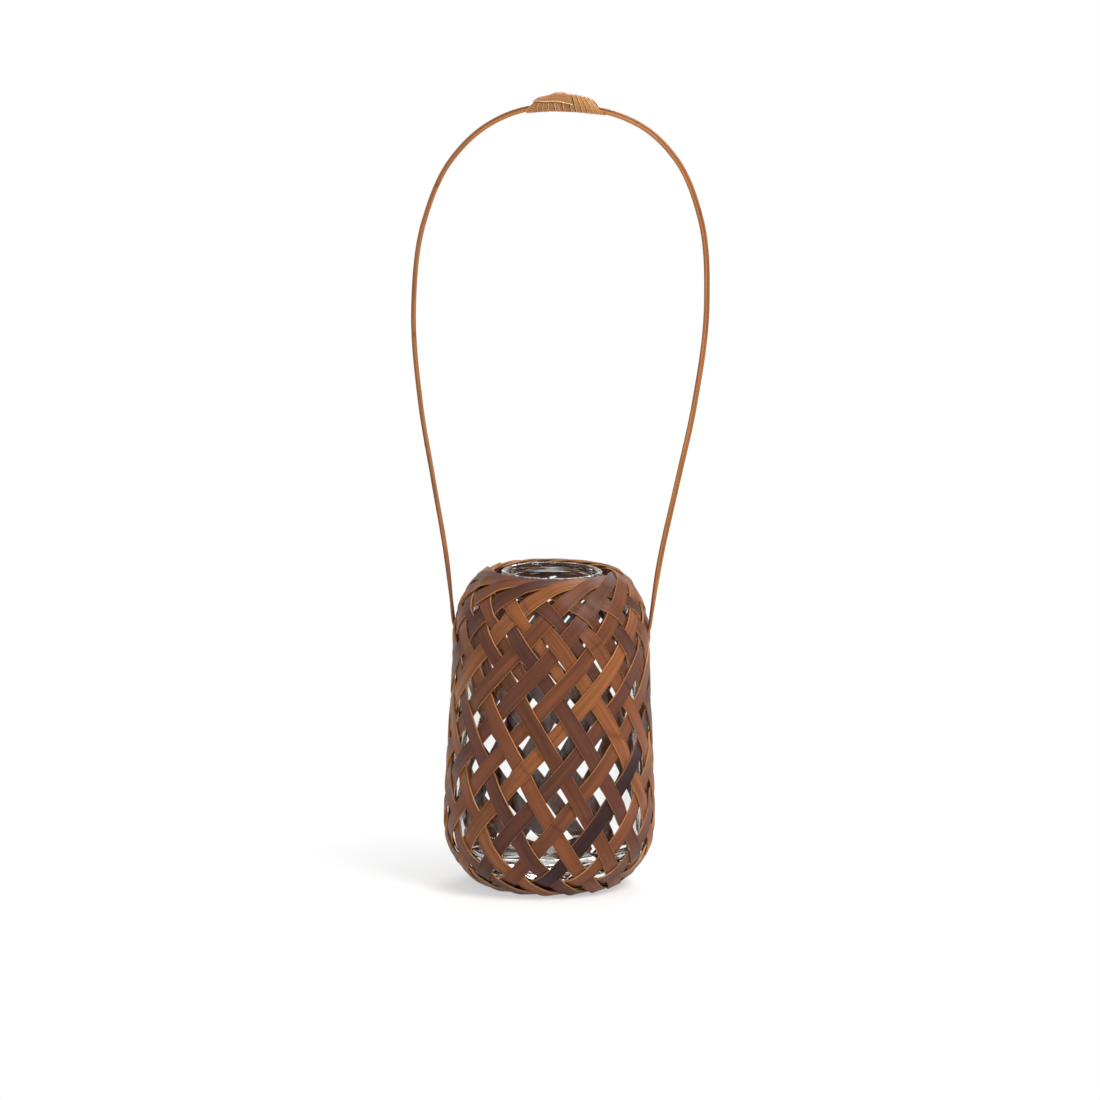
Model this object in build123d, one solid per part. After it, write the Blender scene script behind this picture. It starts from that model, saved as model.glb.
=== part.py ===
from build123d import *
import math
import os

# Bamboo vase: a glass jar with a body of diagonal bamboo strips woven round it,
# a tall handle of two bamboo rods, and a hand grip wound with split cane.
# Millimetres, +Z up. The floor is Z = 0. The vase is seen from -Y, with +X to the right.
# Angles round the body are counted from -Y, growing towards +X.

# Outer outline of the woven body
BASE_FLAT_RADIUS = 16.0
BASE_ROUNDING = 24.0
SIDE_DRAW_IN = 2.7
SHOULDER_START_Z = 95.0
SHOULDER_DEPTH = 20.2
SHOULDER_RISE = 26.9

# Bamboo strips
STRIP_COUNT = 16
STRIP_WIDTH = 5.8
STRIP_THICKNESS = 0.6
LAYER_GAP = 0.1
TAIL_WIDTH = 4.0
ARM_END_WIDTH = 3.4
BASE_WIDTH = 5.2
MOUTH_WIDTH = 4.8
BASE_MIDDLE_Z = 0.15

# Course of a strip: it touches one circle outside the base's flat and one outside the mouth
BASE_BAND = 6.1
MOUTH_BAND = 7.9
SIDE_EASE_Z = 35.0
WEAVE_PHASE_DEG = 10.8
WEAVE_TWIST_DEG = 17.4
TWIST_TOP_Z = 112.0
MARCH_STEP = 0.7
MARCH_ROUNDS = 14

# Rings of crossings, counted in half pitches from the base: does the rising strip lie outside?
RISING_OUTSIDE = {5: True, 6: False, 7: True, 8: False, 9: True, 10: False,
                  11: False, 12: True, 13: True, 14: False}
STEPS_TO_MOUTH = 20.5
ARM_END_STEP = 15.3
TAIL_END_STEP = 12.6
SHORT_TAIL_END_STEP = 14.6
HANDLE_EXIT_STEP = 14
HANDLE_EXIT_PITCHES = 2.5
SECTION_STEP = 1 / 3
CROSSING_REACH = 0.33

# Layers that a strip stands outside the middle of the weave, by step from the base
RISING_BASE_LAYER_SHARES = [(0, 0), (1, -0.56), (2, -1.12), (3.2, -1.8), (4.42, -0.5)]
RISING_TOP_LAYER_SHARES = [(14.7, 0), (15.08, -0.05), (15.27, -0.5), (15.75, -0.5),
                           (16.08, 0.5), (16.92, 0.65), (17.6, 1.62), (20.5, 0)]
ARM_TOP_LAYER_SHARES = [(14.68, -1.1), (15.3, -1.25)]
TAIL_LAYER_SHARES = [(12.6, -0.75), (12.9, -0.8), (13.15, -1.5), (14.86, -1.5), (15.14, 0.5),
                     (15.84, 0.5), (16.06, -0.5), (16.95, -0.65), (17.6, -1.62), (20.5, 0)]
# Layers that a strip tips over one step of turn, by steps from where it touches its circle
FAN_TIP_SHARES = [(2.8, 0.56), (3.6, 0)]

# Widths along a strip, as steps from the base
BASE_WIDTH_STEPS = (3.2, 4.6)
MOUTH_WIDTH_STEPS = (16.3, 17.5)
ARM_END_WIDTH_STEPS = (14.35, 15.3)
TAIL_WIDTH_STEPS = (15.2, 16.2)

# Glass jar
GLASS_WALL = 2.4
GLASS_FLOOR_THICKNESS = 9.0
GLASS_SEAT_GAP = 0.1
GLASS_SIDE_GAP = 0.15
GLASS_NECK_BAND = 2.2
GLASS_NECK_RISE = 1.6
GLASS_INNER_CORNER = 9.0

# Handle of two rods
ROD_RADIUS = 0.65
ROD_PAIR_GAP = 0.1
ROD_GAP = 0.1
ROD_FOOT_Z = 24.5
ROD_OUT_LAYERS = 1.45
ROD_OUT_RISE = 6.0
PAIR_TURN_DEG = 33.0
LEFT_BULGE = 53.5
RIGHT_BULGE = 57.1
ARCH_TOP_Z = 295.85
ARCH_TOP_X = 3.4

# Points of the handle's centre line above its ways out: share of the bulge, share of the top
LEFT_LINE_SHARES = [(0.751, 0.4193), (0.849, 0.5184), (0.948, 0.6212), (1, 0.7406), (0.929, 0.8522),
                    (0.744, 0.9297), (0.503, 0.9736), (0.23, 0.9963)]
RIGHT_LINE_SHARES = [(0.711, 0.4193), (0.82, 0.5228), (0.925, 0.6222), (1, 0.7575), (0.9475, 0.8657),
                     (0.788, 0.9368), (0.592, 0.9742), (0.336, 0.9953)]

# Hand grip: stations along it as shares of its length, with its height and depth there
GRIP_LENGTH = 29.6
GRIP_HEIGHT = 5.7
GRIP_DEPTH = 5.2
GRIP_STATION_SHARES = [(0, 0.5, 0.62), (0.08, 0.52, 0.64), (0.16, 0.7, 0.82), (0.27, 0.8, 0.92), (0.39, 1, 1),
                       (0.55, 1, 1), (0.65, 0.95, 0.98), (0.78, 0.86, 0.94), (0.88, 0.62, 0.76), (1, 0.5, 0.62)]
GRIP_UNDER_RODS = 0.15
GRIP_BORE_GAP = 0.1
CANE_TURNS = 13
CANE_RADIUS = 0.42
CANE_GAP = 0.14
SADDLE_START_SHARE = 0.08
SADDLE_LENGTH = 15.6
SADDLE_WIDTH = 6.2
SADDLE_THICKNESS = 0.6
SADDLE_GAP = 0.1
SADDLE_SLANT_DEG = 35.0

SIDE_RADIUS = BASE_FLAT_RADIUS + BASE_ROUNDING
SHOULDER_START_RADIUS = SIDE_RADIUS - SIDE_DRAW_IN
MOUTH_RADIUS = SHOULDER_START_RADIUS - SHOULDER_DEPTH
BASE_TOUCH_RADIUS = BASE_FLAT_RADIUS + BASE_BAND
MOUTH_TOUCH_RADIUS = MOUTH_RADIUS + MOUTH_BAND
PAIR_RISE = (ROD_RADIUS + ROD_PAIR_GAP / 2) * math.sin(math.radians(PAIR_TURN_DEG))
FULL_TURN = 2 * math.pi
PITCH = FULL_TURN / STRIP_COUNT
STEP = PITCH / 2
LAYER = STRIP_THICKNESS + LAYER_GAP
WEAVE_HALF = (LAYER + STRIP_THICKNESS) / 2
DEEPEST_LAYER = max(abs(layer) for step, layer in RISING_BASE_LAYER_SHARES)


def between(knots, value):
    """Value on the broken line through the knots, held level past its ends."""
    if value <= knots[0][0]:
        return knots[0][1]
    for (low, first), (high, second) in zip(knots, knots[1:]):
        if value <= high:
            return first + (second - first) * (value - low) / (high - low)
    return knots[-1][1]


def eased(share):
    """Share from 0 to 1 with a soft start and a soft end."""
    held = min(max(share, 0.0), 1.0)
    return held * held * (3 - 2 * held)


class Outline:
    """Half outline of the body, from the axis out, up the side and over the shoulder."""

    POINTS = 160

    def __init__(self, inset, floor_z):
        """Lay the outline the given inset inside the outer one, with its flat base at floor_z."""
        self.inset = inset
        self.rounding = BASE_ROUNDING - inset
        self.rounding_z = floor_z + self.rounding
        self.side_radius = BASE_FLAT_RADIUS + self.rounding
        self.shoulder_radius = SHOULDER_START_RADIUS - inset
        self.points = [(0.0, floor_z)]
        for i in range(self.POINTS + 1):
            turn = math.pi / 2 * i / self.POINTS
            self.points.append((BASE_FLAT_RADIUS + self.rounding * math.sin(turn),
                                self.rounding_z - self.rounding * math.cos(turn)))
        for i in range(1, self.POINTS + 1):
            share = i / self.POINTS
            drop = (self.side_radius - self.shoulder_radius) * eased(share)
            self.points.append((self.side_radius - drop,
                                self.rounding_z + (SHOULDER_START_Z - self.rounding_z) * share))
        for i in range(1, self.POINTS + 1):
            turn = math.pi / 2 * i / self.POINTS
            self.points.append((MOUTH_RADIUS + (SHOULDER_DEPTH - inset) * math.cos(turn),
                                SHOULDER_START_Z + (SHOULDER_RISE - inset) * math.sin(turn)))
        self.lengths = [0.0]
        for (r0, z0), (r1, z1) in zip(self.points, self.points[1:]):
            self.lengths.append(self.lengths[-1] + math.hypot(r1 - r0, z1 - z0))

    def span(self, length):
        """Number of the span that holds a length along the outline."""
        low, high = 0, len(self.lengths) - 2
        while low < high:
            middle = (low + high + 1) // 2
            if self.lengths[middle] <= length:
                low = middle
            else:
                high = middle - 1
        return low

    def at(self, length):
        """Radius and height at a length along the outline."""
        i = self.span(length)
        share = (length - self.lengths[i]) / (self.lengths[i + 1] - self.lengths[i])
        (r0, z0), (r1, z1) = self.points[i], self.points[i + 1]
        return r0 + (r1 - r0) * share, z0 + (z1 - z0) * share

    def slope(self, length):
        """Unit direction of the outline, as its radial and its upward part."""
        reach = 2 * MARCH_STEP
        r0, z0 = self.at(length - reach)
        r1, z1 = self.at(min(length + reach, self.lengths[-1]))
        size = math.hypot(r1 - r0, z1 - z0)
        return (r1 - r0) / size, (z1 - z0) / size

    def length_at_radius(self, radius):
        """Length along the base at which the outline reaches a radius."""
        return self.length_where(lambda r, z: r >= radius)

    def length_at_height(self, height):
        """Length along the outline at which it reaches a height."""
        return self.length_where(lambda r, z: z >= height)

    def length_where(self, reached):
        """First length, to a span, at which a test of radius and height is true."""
        for length, (r, z) in zip(self.lengths, self.points):
            if reached(r, z):
                return length
        return self.lengths[-1]


MIDDLE = Outline(WEAVE_HALF, BASE_MIDDLE_Z)


class Course:
    """Course of one arm of a strip over the outline, from the base's circle to the mouth's."""

    def __init__(self, side_radius):
        """March the course whose leaning radius on the side has the given value."""
        self.side_radius = side_radius
        self.base_length = MIDDLE.length_at_radius(BASE_TOUCH_RADIUS)
        self.side_length = MIDDLE.length_at_height(SIDE_EASE_Z)
        self.shoulder_length = MIDDLE.length_at_height(SHOULDER_START_Z)
        self.top_length = MIDDLE.lengths[-1]
        self.stations = []
        self.march()

    def lean(self, length):
        """Radius times the cosine of the climb, which a straight strip would keep."""
        if length < self.side_length:
            way = self.side_length - self.base_length
            share = eased((length - self.base_length) / way)
            return BASE_TOUCH_RADIUS + (self.side_radius - BASE_TOUCH_RADIUS) * share
        way = self.top_length - self.shoulder_length
        share = eased((length - self.shoulder_length) / way)
        return self.side_radius + (MOUTH_TOUCH_RADIUS - self.side_radius) * share

    def march(self):
        """Follow the strip until it runs level again at the mouth."""
        length, turn, climb = self.base_length, 0.0, 0.0
        reach = MARCH_STEP / 2
        while length < self.top_length - MARCH_STEP:
            self.stations.append((turn, length))
            radius = MIDDLE.at(length)[0]
            spread = MIDDLE.slope(length)[0]
            change = (self.lean(length + reach) - self.lean(length - reach)) / (2 * reach)
            after = climb + MARCH_STEP * (math.cos(climb) * spread - change) / radius
            stride = MARCH_STEP
            if after < 0:
                stride = MARCH_STEP * climb / (climb - after)
                after = 0.0
            middle = (climb + after) / 2
            length += stride * math.sin(middle)
            turn += stride * math.cos(middle) / radius
            climb = after
            if stride < MARCH_STEP:
                break
        self.stations.append((turn, length))
        self.steps = turn / STEP

    def length(self, steps):
        """Length along the outline, a number of half pitches from the base's touching point."""
        return between(self.stations, abs(steps) * STEP)


def closing_course():
    """Course whose two arms meet at the mouth after the set number of half pitches."""
    low, high = BASE_TOUCH_RADIUS * 0.8, BASE_TOUCH_RADIUS * 1.3
    for i in range(MARCH_ROUNDS):
        course = Course((low + high) / 2)
        if course.steps < STEPS_TO_MOUTH:
            low = course.side_radius
        else:
            high = course.side_radius
    return course


COURSE = closing_course()


def ring_knots(sign):
    """Layers of an arm over the side: level at each crossing, changing side between them."""
    knots = []
    for ring, outside in RISING_OUTSIDE.items():
        layer = sign * (0.5 if outside else -0.5)
        knots += [(ring - CROSSING_REACH, layer), (ring + CROSSING_REACH, layer)]
    return knots


RISING_LAYERS = RISING_BASE_LAYER_SHARES + ring_knots(1) + RISING_TOP_LAYER_SHARES
FALLING_BASE = [(step, -layer) for step, layer in RISING_BASE_LAYER_SHARES]
FALLING_LAYERS = FALLING_BASE + ring_knots(-1) + ARM_TOP_LAYER_SHARES
BASE_WIDTHS = [(BASE_WIDTH_STEPS[0], BASE_WIDTH), (BASE_WIDTH_STEPS[1], STRIP_WIDTH)]
ARM_WIDTHS = BASE_WIDTHS + [(ARM_END_WIDTH_STEPS[0], STRIP_WIDTH), (ARM_END_WIDTH_STEPS[1], ARM_END_WIDTH)]
MOUTH_WIDTHS = [(MOUTH_WIDTH_STEPS[0], STRIP_WIDTH), (MOUTH_WIDTH_STEPS[1], MOUTH_WIDTH)]
TAIL_WIDTHS = [(TAIL_WIDTH_STEPS[0], TAIL_WIDTH), (TAIL_WIDTH_STEPS[1], STRIP_WIDTH)] + MOUTH_WIDTHS


def fold(steps):
    """Step from the base of a place on a strip, also where the strip comes down again."""
    return abs(steps) if steps <= STEPS_TO_MOUTH else 2 * STEPS_TO_MOUTH - steps


def along(steps, arm, rising, tail):
    """Value at a place along a strip, from the table of the stretch that holds it."""
    if steps < 0:
        return between(arm, fold(steps))
    return between(rising if steps <= STEPS_TO_MOUTH else tail, fold(steps))


def layers_at(steps):
    """Layers outside the middle of the weave at a place along a strip."""
    return along(steps, FALLING_LAYERS, RISING_LAYERS, TAIL_LAYER_SHARES)


def width_at(steps):
    """Width of a strip at a place along it."""
    return along(steps, ARM_WIDTHS, BASE_WIDTHS + MOUTH_WIDTHS, TAIL_WIDTHS)


def weave_turn(height):
    """Angle of the weave's first touching point, with the turn of the weave at a height."""
    return math.radians(WEAVE_PHASE_DEG) + math.radians(WEAVE_TWIST_DEG) * eased(height / TWIST_TOP_Z)


def surface(steps, layers):
    """Point of a strip, with the outward normal and the radius of the weave there."""
    length = COURSE.length(fold(steps))
    radius, height = MIDDLE.at(length)
    out, up = MIDDLE.slope(length)
    angle = weave_turn(height) + steps * STEP
    normal = Vector(up * math.sin(angle), -up * math.cos(angle), -out)
    point = Vector(radius * math.sin(angle), -radius * math.cos(angle), height)
    return point + normal * (layers * LAYER), normal, radius


def strip_section(steps, first, last):
    """Four corners of a strip's cross section."""
    centre, normal, radius = surface(steps, layers_at(steps))
    before, after = max(steps - SECTION_STEP / 2, first), min(steps + SECTION_STEP / 2, last)
    ahead = surface(after, layers_at(after))[0] - surface(before, layers_at(before))[0]
    ahead = ahead.normalized()
    across = normal.cross(ahead).normalized()
    half = width_at(steps) / 2
    tip = between(FAN_TIP_SHARES, min(abs(steps), abs(steps - STEPS_TO_MOUTH)))
    around = Vector(0, 0, 1).cross(Vector(centre.X, centre.Y, 0)).normalized()
    turned = half * across.dot(around) / radius / STEP
    across = (across * half - normal * (tip * turned * LAYER)).normalized()
    lift = ahead.cross(across).normalized() * (STRIP_THICKNESS / 2)
    wide = across * half
    return [centre - wide - lift, centre + wide - lift, centre + wide + lift, centre - wide + lift]


def section_places(first, last):
    """Places along a strip that get a section: every knot of its course, and an even grid."""
    knots = [-step for step, layer in FALLING_LAYERS] + [step for step, layer in RISING_LAYERS]
    knots += [2 * STEPS_TO_MOUTH - step for step, layer in TAIL_LAYER_SHARES]
    places = sorted({first, last} | {knot for knot in knots if first < knot < last})
    spread = [first]
    for place in places[1:]:
        parts = max(1, round((place - spread[-1]) / SECTION_STEP))
        start = spread[-1]
        spread += [start + (place - start) * i / parts for i in range(1, parts + 1)]
    return spread


def strip(tail_end_step):
    """One bamboo strip: down one side, across the base, up the other side and over the mouth."""
    first, last = -ARM_END_STEP, 2 * STEPS_TO_MOUTH - tail_end_step
    wires = []
    for steps in section_places(first, last):
        wires.append(Wire.make_polygon(strip_section(steps, first, last), close=True))
    body = Solid.make_loft(wires, ruled=True)
    reach = 2 * SIDE_RADIUS
    corner = Plane((-reach / 2, -reach / 2, -BASE_ROUNDING))
    return (body - Solid.make_box(reach, reach, BASE_ROUNDING, corner)).solid()


def arc_pair(start, start_way, end, end_way):
    """Two arcs that run on smoothly from each other, between two points with set directions."""
    chord = end - start
    ways = start_way + end_way
    square = 2 * (start_way.dot(end_way) - 1)
    reach = chord.dot(ways)
    if abs(square) < 1e-9:
        handle = chord.dot(chord) / (2 * reach)
    else:
        handle = (reach - math.sqrt(reach * reach - square * chord.dot(chord))) / square
    middle = (start + end + (start_way - end_way) * handle) / 2
    first = TangentArc([start, middle], tangent=start_way)
    second = TangentArc([middle, end], tangent=first % 1)
    return [first.edge(), second.edge()]


def tube(points, ways, radius):
    """Round rod along pairs of arcs through points with set directions."""
    edges = []
    for i in range(len(points) - 1):
        edges += arc_pair(points[i], ways[i], points[i + 1], ways[i + 1])
    path = Wire(edges)
    section = Plane(origin=points[0], z_dir=ways[0]) * Circle(radius)
    return sweep(section, path=path).solid(), path


def glass_jar():
    """Thick-walled jar, wide as the weave allows, with a short narrow neck."""
    floor_z = BASE_MIDDLE_Z + DEEPEST_LAYER * LAYER + STRIP_THICKNESS / 2 + GLASS_SEAT_GAP
    rod_room = 2 * (ROD_RADIUS + ROD_GAP) + GLASS_SIDE_GAP - ROD_GAP
    inset = 2 * WEAVE_HALF + rod_room
    outer = Outline(inset, floor_z)
    side, rise_z, start_z = outer.side_radius, outer.rounding_z, SHOULDER_START_Z
    centre = MOUTH_RADIUS
    depth, rise = SHOULDER_DEPTH - inset, SHOULDER_RISE - inset
    neck = MOUTH_RADIUS + GLASS_NECK_BAND
    neck_z = start_z + rise * math.sqrt(1 - ((neck - centre) / depth) ** 2)
    top_z = neck_z + GLASS_NECK_RISE
    wall, corner = GLASS_WALL, GLASS_INNER_CORNER
    floor_top = floor_z + GLASS_FLOOR_THICKNESS
    lip = wall / 2
    inner_side, inner_shoulder = side - wall, outer.shoulder_radius - wall
    inner_neck = neck - wall
    inner_depth, inner_rise = inner_shoulder - centre, rise - wall
    inner_share = min(1.0, max(0.0, (inner_neck - centre) / inner_depth))
    inner_neck_z = start_z + inner_rise * math.sqrt(1 - inner_share ** 2)
    corner_z = floor_top + corner
    waist_z = max(rise_z, corner_z)
    up, down = (0, 1), (0, -1)

    def shoulder(radius, height, share):
        turn = math.acos(share)
        points = []
        for i in range(1, 5):
            angle = turn * i / 5
            points.append((centre + radius * math.cos(angle), start_z + height * math.sin(angle)))
        return points

    with BuildPart() as jar:
        with BuildSketch(Plane.XZ):
            with BuildLine():
                Line((0, floor_z), (BASE_FLAT_RADIUS, floor_z))
                RadiusArc((BASE_FLAT_RADIUS, floor_z), (side, rise_z), -outer.rounding)
                Spline((side, rise_z), (outer.shoulder_radius, start_z), tangents=(up, up))
                rim = [(outer.shoulder_radius, start_z)]
                rim += shoulder(depth, rise, (neck - centre) / depth) + [(neck, neck_z)]
                Spline(*rim)
                Line((neck, neck_z), (neck, top_z - lip))
                Line((neck, top_z - lip), (neck - lip / 2, top_z))
                Line((neck - lip / 2, top_z), (inner_neck + lip / 2, top_z))
                Line((inner_neck + lip / 2, top_z), (inner_neck, top_z - lip))
                Line((inner_neck, top_z - lip), (inner_neck, inner_neck_z))
                inside = shoulder(inner_depth, inner_rise, inner_share)[::-1]
                Spline((inner_neck, inner_neck_z), *inside, (inner_shoulder, start_z))
                Spline((inner_shoulder, start_z), (inner_side, waist_z), tangents=(down, down))
                if waist_z > corner_z:
                    Line((inner_side, waist_z), (inner_side, corner_z))
                RadiusArc((inner_side, corner_z), (inner_side - corner, floor_top), corner)
                Line((inner_side - corner, floor_top), (0, floor_top))
                Line((0, floor_top), (0, floor_z))
            make_face()
        revolve(axis=Axis.Z)
    return jar.part.solid()


def exit_height():
    """Height of the ring of gaps by which the rods come out of the weave."""
    return MIDDLE.at(COURSE.length(HANDLE_EXIT_STEP))[1]


def handle_turn():
    """Angle of the handle's plane, through two opposite gaps of the weave."""
    return weave_turn(exit_height()) + HANDLE_EXIT_PITCHES * PITCH - math.pi / 2


def handle_line():
    """Points of the handle's centre line in the XZ plane, from the left foot to the right foot."""
    inward = WEAVE_HALF + ROD_GAP + ROD_RADIUS
    middle_z = exit_height()
    low_z, high_z = middle_z - ROD_OUT_RISE / 2, middle_z + ROD_OUT_RISE / 2
    foot_r = MIDDLE.at(MIDDLE.length_at_height(ROD_FOOT_Z))[0] - inward
    bend_r = MIDDLE.at(MIDDLE.length_at_height(low_z))[0] - inward
    out_r = bend_r + 2 * ROD_OUT_LAYERS * LAYER
    legs = [(foot_r, ROD_FOOT_Z), (bend_r, low_z), (out_r, high_z)]
    left = legs + [(LEFT_BULGE * x, ARCH_TOP_Z * z) for x, z in LEFT_LINE_SHARES]
    right = legs + [(RIGHT_BULGE * x, ARCH_TOP_Z * z) for x, z in RIGHT_LINE_SHARES]
    line = [(-x, z) for x, z in left] + [(ARCH_TOP_X, ARCH_TOP_Z)] + right[::-1]
    return [Vector(x, 0, z) for x, z in line]


def ways_of(line):
    """Direction of a line through points: upright in the weave, then straight out, then along the arch."""
    ways = []
    last = len(line) - 1
    for i, point in enumerate(line):
        if i < 2:
            ways.append(Vector(0, 0, 1))
        elif i == 2:
            ways.append((line[3] - point).normalized())
        elif i == last - 2:
            ways.append((point - line[i - 1]).normalized())
        elif i > last - 2:
            ways.append(Vector(0, 0, -1))
        else:
            before, after = point - line[i - 1], line[i + 1] - point
            way = before.normalized() * after.length + after.normalized() * before.length
            ways.append(way.normalized())
    return ways


def rod_line(side):
    """Centre line of one rod of the pair: side is 1 for the front rod and -1 for the back one."""
    line = handle_line()
    ways = ways_of(line)
    apart = ROD_RADIUS + ROD_PAIR_GAP / 2
    points = []
    last = len(line) - 1
    for i, (point, way) in enumerate(zip(line, ways)):
        turn = 0.0 if i < 3 or i > last - 3 else math.radians(PAIR_TURN_DEG)
        outward = Vector(-way.Z, 0, way.X)
        points.append(point + (Vector(0, -1, 0) * math.cos(turn) - outward * math.sin(turn)) * (apart * side))
    return points, ways


def rod(side, radius):
    """One rod of the handle with the given radius."""
    points, ways = rod_line(side)
    return tube(points, ways, radius)[0]


def grip_sizes(share, grow):
    """Half height, half depth and middle height of the grip's padding at a share of its length."""
    half_height = between([(s, h) for s, h, d in GRIP_STATION_SHARES], share) * GRIP_HEIGHT / 2
    half_depth = between([(s, d) for s, h, d in GRIP_STATION_SHARES], share) * GRIP_DEPTH / 2
    bottom = rods_height(share) - PAIR_RISE - ROD_RADIUS - GRIP_BORE_GAP - GRIP_UNDER_RODS
    return half_height + grow, half_depth + grow, bottom + half_height


def rods_height(share):
    """Height of the rods' common line inside the grip."""
    line = handle_line()
    x = grip_x(share)
    return between([(point.X, point.Z) for point in line if point.Z > ARCH_TOP_Z / 2], x)


def grip_x(share):
    """Place along X of a share of the grip's length."""
    return ARCH_TOP_X + GRIP_LENGTH * (share - 0.5)


def grip_body(grow):
    """Padding of the grip, grown on all sides."""
    faces = []
    for share, h, d in GRIP_STATION_SHARES:
        half_height, half_depth, middle_z = grip_sizes(share, grow)
        spot = Plane(origin=(grip_x(share), 0, middle_z), x_dir=(0, 1, 0), z_dir=(1, 0, 0))
        faces.append((spot * Ellipse(half_depth, half_height)).face())
    return loft(Sketch() + faces, ruled=True).solid()


def cane_points():
    """Points and directions of the winding, four to a turn, starting on top at the left."""
    grow = CANE_GAP + CANE_RADIUS
    room = GRIP_LENGTH - 2 * grow
    count = 4 * CANE_TURNS
    points, ways = [], []
    for i in range(count + 1):
        share = (grow + room * i / count) / GRIP_LENGTH
        half_height, half_depth, middle_z = grip_sizes(share, grow)
        turn = math.pi / 2 * i
        side, rise = math.sin(turn), math.cos(turn)
        points.append(Vector(grip_x(share), -half_depth * side, middle_z + half_height * rise))
        forward = room / count / (math.pi / 2)
        ways.append(Vector(forward, -half_depth * rise, -half_height * side).normalized())
    return points, ways


def least_gap(path, radius, turns):
    """Least distance between the surfaces of neighbouring turns, measured on points."""
    samples = 60 * turns
    points = [path @ (i / samples) for i in range(samples + 1)]
    least = GRIP_LENGTH
    for i, point in enumerate(points):
        for other in points[i + 30:i + 90]:
            least = min(least, (other - point).length)
    return least - 2 * radius


def saddle():
    """Broad strip of cane on the top of the winding, cut off aslant at its right end."""
    grow = CANE_GAP + 2 * CANE_RADIUS + SADDLE_GAP
    shell = grip_body(grow + SADDLE_THICKNESS) - grip_body(grow)
    start = grip_x(SADDLE_START_SHARE)
    half = SADDLE_WIDTH / 2
    blank = Solid.make_box(SADDLE_LENGTH, SADDLE_WIDTH, GRIP_HEIGHT * 2,
                           Plane((start, -half, rods_height(0.5))))
    end = start + SADDLE_LENGTH
    cutter = Solid.make_box(SADDLE_LENGTH, SADDLE_WIDTH * 4, GRIP_HEIGHT * 4,
                            Plane((0, -SADDLE_WIDTH, -GRIP_HEIGHT)))
    cutter = cutter.rotate(Axis.Z, -SADDLE_SLANT_DEG).translate((end, -half, ARCH_TOP_Z))
    pieces = (shell & (blank - cutter)).solids()
    return max(pieces, key=lambda piece: piece.volume)


def placed(shape, turn):
    """Shape turned about the body's axis and moved so that the whole vase stands centred."""
    aside = (RIGHT_BULGE - LEFT_BULGE) / 2 * math.cos(handle_turn())
    return shape.rotate(Axis.Z, math.degrees(turn)).translate((-aside, 0, 0))


os.makedirs("parts", exist_ok=True)

PIECES = {}
whole, short = strip(TAIL_END_STEP), strip(SHORT_TAIL_END_STEP)
exit_strip = round(HANDLE_EXIT_PITCHES + STRIP_COUNT - (2 * STEPS_TO_MOUTH - HANDLE_EXIT_STEP) / 2)
for number in range(STRIP_COUNT):
    near_exit = (number - exit_strip) % (STRIP_COUNT // 2) == 0
    PIECES[f"strip_{number + 1:02d}"] = placed(short if near_exit else whole, number * PITCH)
PIECES["glass_jar"] = placed(glass_jar(), 0)
FRONT_ROD = rod(1, ROD_RADIUS)
BACK_ROD = rod(-1, ROD_RADIUS)
CORE = grip_body(0) - rod(1, ROD_RADIUS + GRIP_BORE_GAP) - rod(-1, ROD_RADIUS + GRIP_BORE_GAP)
WINDING, WINDING_PATH = tube(*cane_points(), CANE_RADIUS)
print("winding least gap", round(least_gap(WINDING_PATH, CANE_RADIUS, CANE_TURNS), 3))
PIECES["handle_rod_front"] = placed(FRONT_ROD, handle_turn())
PIECES["handle_rod_back"] = placed(BACK_ROD, handle_turn())
PIECES["grip_core"] = placed(max(CORE.solids(), key=lambda piece: piece.volume), handle_turn())
PIECES["grip_winding"] = placed(WINDING, handle_turn())
PIECES["grip_saddle"] = placed(saddle(), handle_turn())

for name, piece in PIECES.items():
    export_step(piece, f"parts/{name}.step")
    print(name, round(piece.volume, 1))
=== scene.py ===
"""Bamboo vase: a glass jar in a woven bamboo body, with a looped handle and a wound grip."""

import logging
import math
from bisect import bisect_right
from collections.abc import Sequence
from dataclasses import dataclass, field
from enum import Enum

import bmesh
import bpy
from mathutils import Matrix, Vector, noise


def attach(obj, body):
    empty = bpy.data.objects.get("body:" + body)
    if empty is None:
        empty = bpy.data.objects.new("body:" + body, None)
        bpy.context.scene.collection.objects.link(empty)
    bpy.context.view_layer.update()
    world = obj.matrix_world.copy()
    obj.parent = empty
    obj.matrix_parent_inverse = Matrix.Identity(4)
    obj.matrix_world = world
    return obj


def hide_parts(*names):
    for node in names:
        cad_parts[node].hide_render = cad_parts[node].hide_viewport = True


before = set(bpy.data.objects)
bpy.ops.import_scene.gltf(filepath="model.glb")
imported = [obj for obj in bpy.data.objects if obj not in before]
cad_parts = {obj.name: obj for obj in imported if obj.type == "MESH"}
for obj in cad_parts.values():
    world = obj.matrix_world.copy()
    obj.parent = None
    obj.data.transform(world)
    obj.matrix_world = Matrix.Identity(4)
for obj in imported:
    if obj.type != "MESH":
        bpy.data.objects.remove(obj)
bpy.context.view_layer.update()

logging.basicConfig(level=logging.INFO, format="%(message)s")
LOG = logging.getLogger("bamboo_vase")

MM = 0.001
QUARTER = math.pi / 2
BODY = "root"
Pair = tuple[float, float]
Triple = tuple[float, float, float]
Color = Triple
Knots = Sequence[Pair]
Material = bpy.types.Material
Mesh = bpy.types.Mesh
Node = bpy.types.Node
Socket = bpy.types.NodeSocket
Tree = bpy.types.NodeTree


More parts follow.
